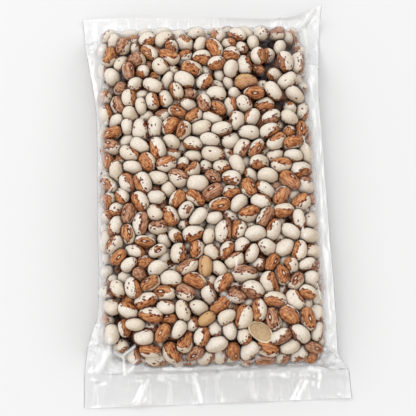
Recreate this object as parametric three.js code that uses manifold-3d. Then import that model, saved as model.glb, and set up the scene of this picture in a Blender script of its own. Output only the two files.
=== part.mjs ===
// A clear sealed bag of dried beans, lying on its back on a flat surface.
// The bag is a flat tube of film, filled until it is a pillow, with a flat seal across each end.
// Film and beans are one solid: a pillow with thin seal flaps, and the beans that press against
// the film from inside standing out of it. Millimetres, +Z up, the bag's length along Y.
import * as THREE from "three";
import { mergeVertices } from "three/addons/utils/BufferGeometryUtils.js";
import Module from "manifold-3d";

// The empty tube of film, and the pillow that it makes when it is full
const FLAT_WIDTH = 150;
const FLAT_LENGTH = 240;
const WAIST_WIDTH = 131.5; // the bulging sides draw the film in to this
const FILL_WIDTH = 128.5;
const FILL_LENGTH = 209;
const FILL_CENTRE = 3.5; // the filling lies a little nearer to the far seal
const THICKNESS = 29;
const FLAP_THICKNESS = 1;

// How far from the middle the film starts to flare out, and reaches the flat width of its seal
const NEAR_FLARE = { start: 66, end: 106 };
const FAR_FLARE = { start: 36, end: 113 };

// The height of the film's side line, in the pillow and at the free edge of each seal
const SIDE_HEIGHT = 12.5;
const NEAR_EDGE_HEIGHT = 1.6;
const FAR_EDGE_HEIGHT = 3.2;
const SLOPE_LENGTH = 32;
const FLAP_WAVE = 0.9;
const FLAP_WAVES = 2.5;
const EAR_LIFT = 9; // the far right corner of the bag curls up by this
const EAR_REACH = 30;

// How squarely the filled pillow's edges turn down, across the bag and along it
const SQUARE_ACROSS = 8;
const SQUARE_ALONG = 7;
const UNDERSIDE_SPREAD = 1.35; // above 1, the pillow rests on a wide flat underside

// A dried bean: a plump oval, a little flatter than it is wide
const BEAN_LENGTH = 12.5;
const BEAN_WIDTH = 8.8;
const BEAN_DEPTH = 7.6;
const FACET_ALLOWANCE = 1.15; // flat facets lie inside the true oval, so this makes up for it
const SIZE_SPREAD = 0.12;
const SINK = 1.2; // some beans lie this much deeper than others

// The beans that show stand in loose rows, half sunk in a pillow that is thinner by the inset
const ROW_PITCH = 10.7;
const BEAN_PITCH = 11.8;
const JITTER = 5.6;
const LEAST_COVER = 4.6; // a bean's middle is at least this far above the film below it
const RIM_KEPT = 1; // no bean is centred nearer to the pillow's rim than this
const CORE_INSET = 3.6;
const TURNS_TRIED = 9;
const SEED = 20417;

// The pillow's grid, finer towards its edges
const CELLS_ACROSS = 8;
const CELLS_ALONG = 18;
const EDGE_GATHERING = 1.35;

const wasm = await Module();
wasm.setup();

// A repeatable stream of numbers from 0 to 1
function makeRandom(seed) {
  let state = seed >>> 0;
  return () => {
    state = (state + 0x6d2b79f5) >>> 0;
    let mixed = state;
    mixed = Math.imul(mixed ^ (mixed >>> 15), mixed | 1);
    mixed ^= mixed + Math.imul(mixed ^ (mixed >>> 7), mixed | 61);
    return ((mixed ^ (mixed >>> 14)) >>> 0) / 2 ** 32;
  };
}

const { clamp, smoothstep, lerp } = THREE.MathUtils;

// How full the pillow is above a point of the floor: 1 over most of it, 0 from its rim outwards
function fullness(x, y, inset) {
  const across = Math.abs(x) / (FILL_WIDTH / 2 - inset);
  const along = Math.abs(y - FILL_CENTRE) / (FILL_LENGTH / 2 - inset);
  if (across >= 1 || along >= 1) return 0;
  return Math.sqrt((1 - across ** SQUARE_ACROSS) * (1 - along ** SQUARE_ALONG));
}

// Half the film's width at a distance along the bag
function filmHalfWidth(y) {
  const flare = y < 0 ? NEAR_FLARE : FAR_FLARE;
  return lerp(WAIST_WIDTH, FLAT_WIDTH, smoothstep(Math.abs(y), flare.start, flare.end)) / 2;
}

// The height of the film's middle, from which the seals slope down to the surface below
function middleHeight(x, y) {
  const edge = y < 0 ? NEAR_EDGE_HEIGHT : FAR_EDGE_HEIGHT;
  const fall = smoothstep(Math.abs(y), FLAT_LENGTH / 2 - SLOPE_LENGTH, FLAT_LENGTH / 2);
  const wave = FLAP_WAVE * fall * Math.sin((x / FLAT_WIDTH) * 2 * Math.PI * FLAP_WAVES);
  const ear =
    EAR_LIFT *
    smoothstep(x, FLAT_WIDTH / 2 - EAR_REACH, FLAT_WIDTH / 2) *
    smoothstep(y, FLAT_LENGTH / 2 - EAR_REACH, FLAT_LENGTH / 2);
  return lerp(SIDE_HEIGHT, edge, fall) + wave + ear;
}

function upperSide(x, y, inset) {
  const rim = middleHeight(x, y) + FLAP_THICKNESS / 2;
  return rim + fullness(x, y, inset) * (THICKNESS - inset - rim);
}

function lowerSide(x, y) {
  const rim = middleHeight(x, y) - FLAP_THICKNESS / 2;
  return Math.max(0, rim * (1 - fullness(x, y, 0) * UNDERSIDE_SPREAD));
}

// The closed pillow with its flaps, between an upper and a lower grid joined round their rims
function pillow(inset) {
  const positions = [];
  const quad = (a, b, c, d) => positions.push(...a, ...b, ...c, ...a, ...c, ...d);
  const spread = (k, n) =>
    Math.sin(((2 * k) / n - 1) * EDGE_GATHERING) / Math.sin(EDGE_GATHERING);
  const at = (i, j, upper) => {
    const y = (spread(j, CELLS_ALONG) * FLAT_LENGTH) / 2;
    const x = spread(i, CELLS_ACROSS) * filmHalfWidth(y);
    return [x, y, upper ? upperSide(x, y, inset) : lowerSide(x, y)];
  };
  const wall = (i, j, k, l) =>
    quad(at(i, j, false), at(k, l, false), at(k, l, true), at(i, j, true));
  for (let i = 0; i < CELLS_ACROSS; i++) {
    for (let j = 0; j < CELLS_ALONG; j++) {
      quad(at(i, j, true), at(i + 1, j, true), at(i + 1, j + 1, true), at(i, j + 1, true));
      quad(at(i, j + 1, false), at(i + 1, j + 1, false), at(i + 1, j, false), at(i, j, false));
    }
    wall(i, 0, i + 1, 0);
    wall(i + 1, CELLS_ALONG, i, CELLS_ALONG);
  }
  for (let j = 0; j < CELLS_ALONG; j++) {
    wall(CELLS_ACROSS, j, CELLS_ACROSS, j + 1);
    wall(0, j + 1, 0, j);
  }
  const geometry = new THREE.BufferGeometry();
  geometry.setAttribute("position", new THREE.Float32BufferAttribute(positions, 3));
  return geometry;
}

// Places a pitch apart, measured along a curve that rises and falls over a straight line
function stations(heightAt, reach, pitch, shift) {
  const step = 0.25;
  const found = [];
  let walked = shift * pitch;
  for (let s = -reach; s < reach; s += step) {
    walked += Math.hypot(step, heightAt(s + step) - heightAt(s));
    if (walked < pitch) continue;
    walked -= pitch;
    found.push(s);
  }
  return found;
}

// A point of the beans' outer side and the way it faces, above a point of the floor
function outerSide(nearX, nearY) {
  const step = 0.5;
  const reachX = FILL_WIDTH / 2 - RIM_KEPT;
  const reachY = FILL_LENGTH / 2 - RIM_KEPT;
  const x = clamp(nearX, -reachX, reachX);
  const y = clamp(nearY, FILL_CENTRE - reachY, FILL_CENTRE + reachY);
  const slopeX = (upperSide(x + step, y, 0) - upperSide(x - step, y, 0)) / (2 * step);
  const slopeY = (upperSide(x, y + step, 0) - upperSide(x, y - step, 0)) / (2 * step);
  return {
    point: new THREE.Vector3(x, y, upperSide(x, y, 0)),
    facing: new THREE.Vector3(-slopeX, -slopeY, 1).normalize(),
  };
}

// How much a bean that lies along a direction would crowd the beans already round it
function crowding(centre, along, others) {
  let sum = 0;
  for (const other of others) {
    const apart = other.centre.clone().sub(centre);
    const gap = apart.length();
    sum += (Math.abs(apart.dot(along)) + Math.abs(apart.dot(other.along))) / gap ** 3;
  }
  return sum;
}

// The beans that show, in staggered rows over the pillow and down its sides, each shifted a
// little and turned to where it has the most room
function layBeans() {
  const random = makeRandom(SEED);
  const beans = [];
  const spine = (s) => upperSide(0, FILL_CENTRE + s, 0);
  const rows = stations(spine, FILL_LENGTH / 2, ROW_PITCH, 0.3);
  rows.forEach((station, row) => {
    const rowY = FILL_CENTRE + station;
    const shift = row % 2 ? 0.25 : 0.75;
    const places = stations((x) => upperSide(x, rowY, 0), FILL_WIDTH / 2, BEAN_PITCH, shift);
    for (const placeX of places) {
      const { point, facing } = outerSide(
        placeX + (random() - 0.5) * JITTER,
        rowY + (random() - 0.5) * JITTER,
      );
      const size = 1 + (random() * 2 - 1) * SIZE_SPREAD;
      const depth = (BEAN_DEPTH * size) / 2 + random() * SINK;
      const centre = point.addScaledVector(facing, -depth);
      const firstTurn = random() * Math.PI;
      if (centre.z < lowerSide(centre.x, centre.y) + LEAST_COVER) continue;
      const near = beans.filter((b) => b.centre.distanceTo(centre) < 2 * BEAN_LENGTH);
      const upright = new THREE.Quaternion().setFromUnitVectors(new THREE.Vector3(0, 0, 1), facing);
      let best = { crowding: Infinity };
      for (let k = 0; k < TURNS_TRIED; k++) {
        const turn = firstTurn + (k * Math.PI) / TURNS_TRIED;
        const along = new THREE.Vector3(Math.cos(turn), Math.sin(turn), 0);
        along.applyQuaternion(upright);
        const crowded = crowding(centre, along, near);
        if (crowded < best.crowding) best = { along, crowding: crowded };
      }
      beans.push({ centre, facing, size, along: best.along });
    }
  });
  return beans;
}

function beanShape({ centre, facing, size, along }) {
  const geometry = new THREE.IcosahedronGeometry(0.5);
  const scale = size * FACET_ALLOWANCE;
  geometry.scale(BEAN_WIDTH * scale, BEAN_LENGTH * scale, BEAN_DEPTH * scale);
  const across = new THREE.Vector3().crossVectors(along, facing);
  const place = new THREE.Matrix4().makeBasis(across, along, facing).setPosition(centre);
  return geometry.applyMatrix4(place);
}

// A closed mesh as a solid that can be joined to others
function toSolid(geometry) {
  const bare = geometry.clone();
  bare.deleteAttribute("normal");
  bare.deleteAttribute("uv");
  const merged = mergeVertices(bare, 1e-4);
  return new wasm.Manifold(
    new wasm.Mesh({
      numProp: 3,
      vertProperties: merged.attributes.position.array,
      triVerts: new Uint32Array(merged.index.array),
    }),
  );
}

function toGeometry(solid) {
  const mesh = solid.getMesh();
  const geometry = new THREE.BufferGeometry();
  geometry.setAttribute("position", new THREE.BufferAttribute(mesh.vertProperties, 3));
  geometry.setIndex(new THREE.BufferAttribute(mesh.triVerts, 1));
  return geometry;
}

// The outer shell alone, so that a hollow which beans close between them is filled
function outerShell(solid) {
  const bySize = solid.decompose().sort((a, b) => b.volume() - a.volume());
  return bySize[0];
}

// The bag: the pillow with every bean that shows joined on
function makeBag() {
  let joined = toSolid(pillow(CORE_INSET));
  for (const bean of layBeans()) joined = joined.add(toSolid(beanShape(bean)));
  const material = new THREE.MeshStandardMaterial({
    color: 0xcdb49c,
    roughness: 0.35,
    metalness: 0,
  });
  const bag = new THREE.Mesh(toGeometry(outerShell(joined)), material);
  bag.name = "bean_bag";
  return bag;
}

const group = new THREE.Group();
group.add(makeBag());
export default group;
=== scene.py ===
# %% [markdown]
# # A sealed bag of dried beans
# The real thing is a tube of thin clear film, sealed flat across both ends and filled with about
# a thousand dried beans. What makes it look real is physical: beans wedge against each other, and
# the film is pulled tight over them and wrinkles where it has slack. So instead of placing beans
# and modelling wrinkles by hand, this lesson packs the beans and drapes the film with two small
# simulations in numpy, and then dresses both with procedural materials.
# Everything is worked out in millimetres and becomes metres when it turns into a mesh.

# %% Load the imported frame
import math

import bpy
import numpy as np
from mathutils import Matrix, Vector


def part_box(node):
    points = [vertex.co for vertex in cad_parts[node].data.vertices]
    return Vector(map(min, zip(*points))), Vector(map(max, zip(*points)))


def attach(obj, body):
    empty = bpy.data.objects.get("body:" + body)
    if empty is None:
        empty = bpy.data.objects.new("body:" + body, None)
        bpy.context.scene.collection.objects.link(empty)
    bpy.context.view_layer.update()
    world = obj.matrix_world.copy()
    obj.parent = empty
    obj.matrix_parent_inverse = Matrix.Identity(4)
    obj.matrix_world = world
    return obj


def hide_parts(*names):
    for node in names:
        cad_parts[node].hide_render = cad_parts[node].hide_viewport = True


MM = 0.001
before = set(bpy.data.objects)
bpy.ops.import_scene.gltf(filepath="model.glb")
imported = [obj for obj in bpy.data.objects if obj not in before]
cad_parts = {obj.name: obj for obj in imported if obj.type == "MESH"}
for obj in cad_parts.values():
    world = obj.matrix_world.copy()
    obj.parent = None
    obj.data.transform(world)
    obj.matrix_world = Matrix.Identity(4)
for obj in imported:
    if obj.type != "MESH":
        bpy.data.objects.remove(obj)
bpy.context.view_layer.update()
bag_low, bag_high = (np.array(corner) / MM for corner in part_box("bean_bag"))
flat_width, bag_length, bag_height = bag_high - bag_low
print(f"bag: {flat_width:.0f} x {bag_length:.0f} x {bag_height:.1f} mm")

# %% [markdown]
# ## The filled pillow
# A full bag isn't a box: its top is nearly flat, its sides are round, and it closes like a wedge
# towards each seal. One formula gives all of that. `fullness` is 1 over the middle of the bag and
# falls to 0 at its rim, first slowly and then steeply, because of the high powers.

# %% The pillow's form
FILL_WIDTH = 124.5
FILL_LENGTH = 207.0
FILL_MIDDLE = (-1.0, 3.5)  # the beans lie a little nearer to the left side and to the far seal
SQUARE_ACROSS = 10
SQUARE_ALONG = 9
RIM_HEIGHT = 12.5
RIM_FALLS = (88.0, 120.0)  # towards the seals, between these distances from the middle
RIM_AT_SEAL = 1.6
UNDERSIDE_SPREAD = 1.35
FILM_OVER_BEANS = 0.6
TOP_HEIGHT = bag_height - FILM_OVER_BEANS
BEYOND = 1.2  # the form is followed this far past its rim
TINY = 1e-6  # keeps a division safe


def smooth(value, low, high):
    """A soft step from 0 to 1 while the value goes from low to high."""
    share = np.clip((value - low) / (high - low), 0, 1)
    return share * share * (3 - 2 * share)


def band(value, rise, full, fade, end):
    """Rises softly from 0 to 1 and falls back to 0."""
    return smooth(value, rise, full) * (1 - smooth(value, fade, end))


def fullness_squared(x, y):
    """The square of how full the bag is over each place, from 0 at the rim to 1."""
    across = np.clip(np.abs(x - FILL_MIDDLE[0]) / (FILL_WIDTH / 2), 0, 1)
    along = np.clip(np.abs(y - FILL_MIDDLE[1]) / (FILL_LENGTH / 2), 0, 1)
    return (1 - across**SQUARE_ACROSS) * (1 - along**SQUARE_ALONG)


def rim_height(y):
    """The height of the side line where the upper and lower film meet."""
    fall = smooth(np.abs(y), *RIM_FALLS)
    return RIM_HEIGHT * (1 - fall) + RIM_AT_SEAL * fall


def pillow_gap(points):
    """How far inside the pillow each point is, to first order, and the way to its middle."""
    x, y, z = points[..., 0] - FILL_MIDDLE[0], points[..., 1] - FILL_MIDDLE[1], points[..., 2]
    rim = rim_height(points[..., 1])
    above = z > rim
    reach = np.where(above, TOP_HEIGHT - rim, UNDERSIDE_SPREAD * rim)
    rise = (z - rim) / reach
    across = np.clip(np.abs(x) / (FILL_WIDTH / 2), TINY, BEYOND)
    along = np.clip(np.abs(y) / (FILL_LENGTH / 2), TINY, BEYOND)
    side = 1 - across**SQUARE_ACROSS
    end = 1 - along**SQUARE_ALONG
    level = rise**2 - side * end
    slope = np.stack(
        [
            SQUARE_ACROSS * across ** (SQUARE_ACROSS - 1) / (FILL_WIDTH / 2) * end * np.sign(x),
            SQUARE_ALONG * along ** (SQUARE_ALONG - 1) / (FILL_LENGTH / 2) * side * np.sign(y),
            2 * rise / reach,
        ],
        axis=-1,
    )
    steepness = np.maximum(np.linalg.norm(slope, axis=-1), TINY)
    return -level / steepness, -slope / steepness[..., None]


def pillow_volume(cells=200):
    """The room inside the pillow in cubic millimetres, added up over a grid of columns."""
    steps = (np.arange(cells) + 0.5) / cells - 0.5
    x, y = np.meshgrid(steps * FILL_WIDTH + FILL_MIDDLE[0], steps * FILL_LENGTH + FILL_MIDDLE[1])
    full = np.sqrt(fullness_squared(x, y))
    rim = rim_height(y)
    thick = full * (TOP_HEIGHT - rim) + np.minimum(rim, rim * full * UNDERSIDE_SPREAD)
    return thick.mean() * FILL_WIDTH * FILL_LENGTH


print(f"the pillow holds {pillow_volume() / 1e6:.3f} litres")

# %% [markdown]
# ## Packing the beans
# Hand-placed beans always look placed. Real ones are poured and shaken down until they touch. Here
# every bean is a row of five balls of the right sizes, stiff like a stick of sweets. The beans
# start small and spread out, grow to full size, and in each round every pair that overlaps is
# pushed apart, every bean that pokes through the film is pushed back, and a slight weight pulls
# all of them down. A rigid body simulation could do it too, but this is quick and gives the same
# heap on every run.

# %% Bean sizes and their count
BEAN_LENGTH = 12.2
BEAN_WIDTH = 8.8
BEAN_DEPTH = 7.6
SIZE_SPREAD = 0.08
SLENDER_SPREAD = 0.055
WIDEST = 1.8  # no bean is more than this many spreads from the mean
PACKED_SHARE = 0.665  # the share of the room that beans fill when they are shaken down
BEAN_SEED = 7
rng = np.random.default_rng(BEAN_SEED)
mean_volume = math.pi / 6 * BEAN_LENGTH * BEAN_WIDTH * BEAN_DEPTH
bean_count = int(PACKED_SHARE * pillow_volume() / mean_volume)
size = 1 + SIZE_SPREAD * np.clip(rng.standard_normal(bean_count), -WIDEST, WIDEST)
slender = 1 + SLENDER_SPREAD * np.clip(rng.standard_normal(bean_count), -WIDEST, WIDEST)
half_length = BEAN_LENGTH / 2 * size * slender
half_width = BEAN_WIDTH / 2 * size / np.sqrt(slender)
half_depth = BEAN_DEPTH / 2 * size / np.sqrt(slender)
SPLIT = 0  # the number of the one bean that has lost a half
SPLIT_HALVES = (7.3, 4.8, 4.0)
half_length[SPLIT], half_width[SPLIT], half_depth[SPLIT] = SPLIT_HALVES
print(f"{bean_count} beans, {2 * half_length.min():.1f} to {2 * half_length.max():.1f} mm long")


# %% A random start inside the pillow
START_INSIDE = 3.5  # every bean's middle starts at least this far inside the film


def start_places(count):
    """Random places inside the pillow."""
    places = np.zeros((0, 3))
    while len(places) < count:
        tried = rng.uniform(-0.5, 0.5, (4 * count, 3)) * [FILL_WIDTH, FILL_LENGTH, TOP_HEIGHT]
        tried += [*FILL_MIDDLE, TOP_HEIGHT / 2]
        inside, _ = pillow_gap(tried)
        places = np.vstack([places, tried[inside > START_INSIDE]])
    return places[:count]


place = start_places(bean_count)
LYING = 0.55  # beans lie down rather than stand, so their axes lean this little out of level
along = rng.standard_normal((bean_count, 3)) * [1, 1, LYING]
along /= np.linalg.norm(along, axis=1)[:, None]
FLAT_DEPTH = 8.0  # the film presses beans flat that lie this near to it
FIRST_PRESS = 0.75
FLAT_PRESS = 0.012
CORNER_WAY = np.array([-0.664, -0.747, 0.0])  # towards the near left corner, which stays empty
CORNER_REACH = 105.0


def press_flat(along, share):
    """Turns the beans near the film towards lying along it."""
    inside, inward = pillow_gap(place)
    lean = np.einsum("ij,ij->i", along, inward) * (inside < FLAT_DEPTH) * share
    along = along - inward * lean[:, None]
    return along / np.linalg.norm(along, axis=1)[:, None]


along = press_flat(along, FIRST_PRESS)
SPLIT_PLACE = np.array([24.3, -84.9, 23.4])
SPLIT_WAY = np.array([0.77, -0.638, 0.0])
PLAY = (-1.3, 0.8)  # the film gives way a little to some beans, and others lie deeper
play = rng.uniform(*PLAY, bean_count)
print(f"the beans start {place[:, 2].min():.0f} to {place[:, 2].max():.0f} mm above the floor")


# %% One round of pushing apart
BALLS = 5
TURNING = 0.2  # a solid oval turns as if this share of its squared half sizes held it
ball_spot = np.linspace(-1, 1, BALLS)


def ball_rows(round_radius):
    """Offsets and radii of the balls that fill each bean's oval, touching it from inside."""
    long2 = half_length**2
    round2 = round_radius**2
    reach = (long2 - round2) / half_length
    offset = ball_spot[None, :] * reach[:, None]
    radius = round_radius[:, None] * np.sqrt(1 - offset**2 / (long2 - round2)[:, None])
    return offset, radius


def close_pairs(within):
    """The numbers of all pairs of beans whose middles are this near to each other."""
    apart = place[:, None, :] - place[None, :, :]
    near = np.einsum("ijk,ijk->ij", apart, apart) < within**2
    first, second = np.nonzero(np.triu(near, 1))
    return first, second


def push(shift, turn, bean, offset, vector):
    """Adds one contact's push to the beans that it acts on, as a shift and a turn."""
    stiffness = TURNING * (half_length**2 + half_width**2)
    sideways = vector - along[bean] * np.einsum("ij,ij->i", vector, along[bean])[:, None]
    share = 1 / (1 + offset**2 / stiffness[bean])
    for axis in range(3):
        shift[:, axis] += np.bincount(bean, vector[:, axis] * share, minlength=bean_count)
        swing = sideways[:, axis] * offset / stiffness[bean] * share
        turn[:, axis] += np.bincount(bean, swing, minlength=bean_count)


PLUMPNESS = 1.03  # the beans' full shoulders reach this much further than a plain oval's
offset, radius = ball_rows(0.5 * PLUMPNESS * (half_width + half_depth))
PACK_ROUNDS = 420
GROWN_BY = 0.6  # the share of the rounds after which the beans have their full size
START_SIZE = 0.55
WEIGHT = 0.012
LOWEST = 1.0  # the balls stay this much above the floor
EASE = 0.42
NEAR_PAIRS = 15.0  # only pairs with middles nearer than this can touch
NEW_PAIRS_EVERY = 8
SHARED = 0.5  # each of two beans moves half the way apart
BACK_IN = 0.6
everyone = np.arange(bean_count)
for turn_number in range(PACK_ROUNDS):
    grown = START_SIZE + (1 - START_SIZE) * min(1, turn_number / (GROWN_BY * PACK_ROUNDS))
    if turn_number % NEW_PAIRS_EVERY == 0:
        first, second = close_pairs(NEAR_PAIRS)
    balls = place[:, None, :] + along[:, None, :] * (offset * grown)[:, :, None]
    apart = balls[first][:, :, None, :] - balls[second][:, None, :, :]
    distance = np.sqrt(np.einsum("pijk,pijk->pij", apart, apart))
    overlap = (radius[first] * grown)[:, :, None] + (radius[second] * grown)[:, None, :] - distance
    deepest = overlap.reshape(len(first), -1).argmax(1)
    rows = np.arange(len(first))
    i, j = deepest // BALLS, deepest % BALLS
    depth = overlap[rows, i, j]
    hit = depth > 0
    rows, i, j, depth = rows[hit], i[hit], j[hit], depth[hit]
    way = apart[rows, i, j] / np.maximum(distance[rows, i, j], TINY)[:, None]
    shift = np.zeros((bean_count, 3))
    turn = np.zeros((bean_count, 3))
    push(shift, turn, first[rows], offset[first[rows], i] * grown, way * depth[:, None] * SHARED)
    push(shift, turn, second[rows], offset[second[rows], j] * grown, -way * depth[:, None] * SHARED)
    inside, inward = pillow_gap(balls)
    short = np.maximum(0, radius * grown - inside - play[:, None])
    low = np.maximum(0, radius * grown + LOWEST - balls[..., 2])
    cornered = np.maximum(0, radius * grown + balls @ CORNER_WAY - CORNER_REACH)
    for ball in range(BALLS):
        here = offset[:, ball] * grown
        push(shift, turn, everyone, here, inward[:, ball] * short[:, ball, None] * BACK_IN)
        push(shift, turn, everyone, here, low[:, ball, None] * [[0, 0, BACK_IN]])
        push(shift, turn, everyone, here, cornered[:, ball, None] * -BACK_IN * CORNER_WAY)
    place = place + EASE * shift
    place[:, 2] -= WEIGHT
    along = press_flat(along + EASE * turn, FLAT_PRESS)
    place = np.round(place, 6)
    along = np.round(along, 8)
    place[SPLIT] = SPLIT_PLACE
    along[SPLIT] = SPLIT_WAY

print(f"overlaps: mean {depth.mean():.2f} mm, largest {depth.max():.2f} mm over {len(depth)} touches")

# %% [markdown]
# ## One bean's shape
# A dried bean is a plump oval, blunt at its ends, a little thicker at one end, bent slightly
# towards its eye, and flatter from side to side than from back to eye. A ball of rings and sides
# is pushed into that form by a short formula, and each bean gets its own mix of the numbers. The
# rings start at the eye, where they are close together, so that there are points enough for the
# small dent there.

# %% The grid that every bean is made from
BLUNT = 2.3  # 2 gives a plain oval, more gives fuller shoulders


def bean_grid(sides, bends):
    """Directions from a bean's middle, as shares along, across and towards its eye."""
    sweep = np.radians(bends)
    around = np.arange(sides) / sides * 2 * math.pi
    ring, side = np.meshgrid(sweep, around, indexing="ij")
    rim = np.stack([np.sin(ring) * np.cos(side), np.sin(ring) * np.sin(side), np.cos(ring)], -1)
    points = np.vstack([[[0, 0, 1]], rim.reshape(-1, 3), [[0, 0, -1]]])
    last = len(points) - 1
    here = np.arange(sides)
    after = (here + 1) % sides
    faces = [np.stack([0 * here, 1 + here, 1 + after], 1)]
    for k in range(len(bends) - 1):
        a, b = 1 + k * sides, 1 + (k + 1) * sides
        faces.append(np.stack([a + here, b + here, b + after], 1))
        faces.append(np.stack([a + here, b + after, a + after], 1))
    a = 1 + (len(bends) - 1) * sides
    faces.append(np.stack([a + here, 0 * here + last, a + after], 1))
    points /= (np.abs(points) ** BLUNT).sum(1)[:, None] ** (1 / BLUNT)
    return points, np.vstack(faces)


FINE = bean_grid(22, [6, 11, 17, 25, 35, 46, 58, 70, 82, 94, 106, 119, 133, 148, 164])
PLAIN = bean_grid(12, [20, 45, 70, 95, 120, 150])
print(f"a bean that shows has {len(FINE[1])} faces, and a hidden one {len(PLAIN[1])}")

# %% From the grid to every bean
EGG_SPREAD = 0.10
EGG_WIDEST = 1.6
BEND = (0.02, 0.2)
BEND_MIDDLE = 0.3  # where along a bean its bend neither lifts nor lowers it, squared
WAVES = 4
WAVE_PITCH = 1.6
UNEVEN = 0.016
EYE_DENT = 0.05
DENT_SIZE = (0.22, 0.13)
egg = EGG_SPREAD * rng.standard_normal(bean_count).clip(-EGG_WIDEST, EGG_WIDEST)
bend = rng.uniform(*BEND, bean_count)
wave = rng.standard_normal((bean_count, WAVES, 3)) * WAVE_PITCH
wave_start = rng.uniform(0, 2 * math.pi, (bean_count, WAVES))
luck = rng.random((bean_count, 3))
egg[SPLIT], bend[SPLIT] = 0.0, 0.05
SPLIT_EDGE = 0.06  # the skin stands this share of the thickness above the split bean's flat face
SPLIT_EDGE_AT = (0.84, 0.93)
OVER_FILM = 0.5  # no bean reaches below this height, where the lower film lies


def bean_points(grid, chosen, halved=False):
    """The points of the chosen beans, in a bean's own shares and in the bag's millimetres."""
    l, t, h = (grid[None, :, k] for k in range(3))
    swell = 1 + egg[chosen, None] * l
    lumps = np.sin(np.einsum("bkc,nc->bkn", wave[chosen], grid) + wave_start[chosen][:, :, None])
    swell = swell * (1 + UNEVEN * lumps.sum(1))
    dent = EYE_DENT * np.exp(-((l / DENT_SIZE[0]) ** 2) - (t / DENT_SIZE[1]) ** 2) * (h > 0)
    lean = bend[chosen, None] * (l**2 - BEND_MIDDLE)
    thick = t * swell
    if halved:
        edge = SPLIT_EDGE * smooth(np.hypot(l, h), *SPLIT_EDGE_AT)
        thick = np.where(t > 0, edge, thick)
    shares = np.stack([l * (1 + UNEVEN * lumps[:, 0]), thick, h * swell - dent + lean], -1)
    own = np.broadcast_to(grid, shares.shape)
    sizes = np.stack([half_length, half_depth, half_width], 1)[chosen]
    points = place[chosen][:, None] + np.einsum("bnk,bk,bkc->bnc", shares, sizes, axes[chosen])
    points[..., 2] = np.maximum(points[..., 2], OVER_FILM)
    return own, points


print(f"the beans are bent by {bend.min():.2f} to {bend.max():.2f} of their half width")


# %% Which way each bean's eye faces
EYE_SIDE_SHARE = 0.56
EYE_UP_SHARE = 0.16
TURN_SPREAD = math.radians(26)
FACING_UP = 0.7
up = np.array([0.0, 0.0, 1.0])
across = up - along * (along @ up)[:, None]
across /= np.maximum(np.linalg.norm(across, axis=1), 1e-3)[:, None]
kind_of_turn = rng.random(bean_count)
turned = np.select(
    [kind_of_turn < EYE_SIDE_SHARE, kind_of_turn < EYE_SIDE_SHARE + EYE_UP_SHARE],
    [np.where(rng.random(bean_count) < 0.5, 0, math.pi), np.full(bean_count, math.pi / 2)],
    -math.pi / 2,
)
turned = turned + TURN_SPREAD * rng.standard_normal(bean_count)
level = np.cross(along, across)
eye = level * np.cos(turned)[:, None] + across * np.sin(turned)[:, None]
eye[SPLIT] = np.cross(SPLIT_WAY, up)
axes = np.stack([along, np.cross(eye, along), eye], 1)
print(f"{(eye[:, 2] > FACING_UP).sum()} eyes face up, and {(eye[:, 2] < -FACING_UP).sum()} down")


# %% A mesh from arrays
def add_mesh(name, points, faces, rounded=True):
    """Makes a piece from points in millimetres and faces with equally many corners."""
    mesh = bpy.data.meshes.new(name)
    mesh.vertices.add(len(points))
    mesh.vertices.foreach_set("co", (points * MM).astype(np.float32).ravel())
    mesh.loops.add(faces.size)
    mesh.loops.foreach_set("vertex_index", faces.astype(np.int32).ravel())
    mesh.polygons.add(len(faces))
    mesh.polygons.foreach_set("loop_start", np.arange(0, faces.size, faces.shape[1], dtype=np.int32))
    mesh.polygons.foreach_set("use_smooth", np.full(len(faces), rounded))
    mesh.update(calc_edges=True)
    piece = bpy.data.objects.new(name, mesh)
    bpy.context.scene.collection.objects.link(piece)
    return piece


def keep_with_points(piece, name, values):
    """Stores one or three numbers with each point, for the material to read."""
    kind, field = ("FLOAT", "value") if values.ndim == 1 else ("FLOAT_VECTOR", "vector")
    stored = piece.data.attributes.new(name, kind, "POINT")
    stored.data.foreach_set(field, values.astype(np.float32).ravel())


# %% [markdown]
# ## Kinds of bean
# In one bag most beans are ivory with a rust patch round the eye, some have a duller, pinker
# brown patch with more dark flecks, many turn out almost plain ivory, and a few are tan. Each kind
# is one joined mesh with its own material. Beans at the bag's skin get a fine grid, and those
# buried in the heap, which never show more than a sliver, get a plain one.

# %% Make the beans
KINDS = {
    "rust_patched_beans": 0.46,
    "brown_patched_beans": 0.29,
    "ivory_beans": 0.238,
    "tan_beans": 0.012,
}
SHOWING_DEPTH = 8.5
kind_draw = rng.random(bean_count)
depth_below, _ = pillow_gap(place)
showing = depth_below < SHOWING_DEPTH
beans = {}
share_before = 0.0
for kind, share in KINDS.items():
    of_kind = (kind_draw >= share_before) & (kind_draw < share_before + share)
    of_kind[SPLIT] = False
    share_before += share
    own, spread, faces, lucks, start = [], [], [], [], 0
    for grid, chosen in ((FINE, of_kind & showing), (PLAIN, of_kind & ~showing)):
        numbers = np.nonzero(chosen)[0]
        shares, points = bean_points(grid[0], numbers)
        for k in range(len(numbers)):
            faces.append(grid[1] + start + k * len(grid[0]))
        start += len(numbers) * len(grid[0])
        own.append(shares.reshape(-1, 3))
        spread.append(points.reshape(-1, 3))
        lucks.append(np.repeat(luck[numbers], len(grid[0]), axis=0))
    piece = add_mesh(kind, np.vstack(spread), np.vstack(faces))
    keep_with_points(piece, "bean_spot", np.vstack(own))
    keep_with_points(piece, "bean_luck", np.vstack(lucks))
    # each point's depth in the heap, which the painted shade reads
    keep_with_points(piece, "bean_depth", pillow_gap(np.vstack(spread))[0])
    beans[kind] = piece
    print(f"{kind}: {of_kind.sum()} beans, {len(piece.data.polygons)} faces")

# %% [markdown]
# ## The split bean
# Near the near right corner lies half a bean with its flat inner face up. It's the same form, with
# all that lies above its middle plane pressed down to that plane, and with the edge of its skin
# left standing a little. It gets a finer grid, so that this edge is even.

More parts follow.
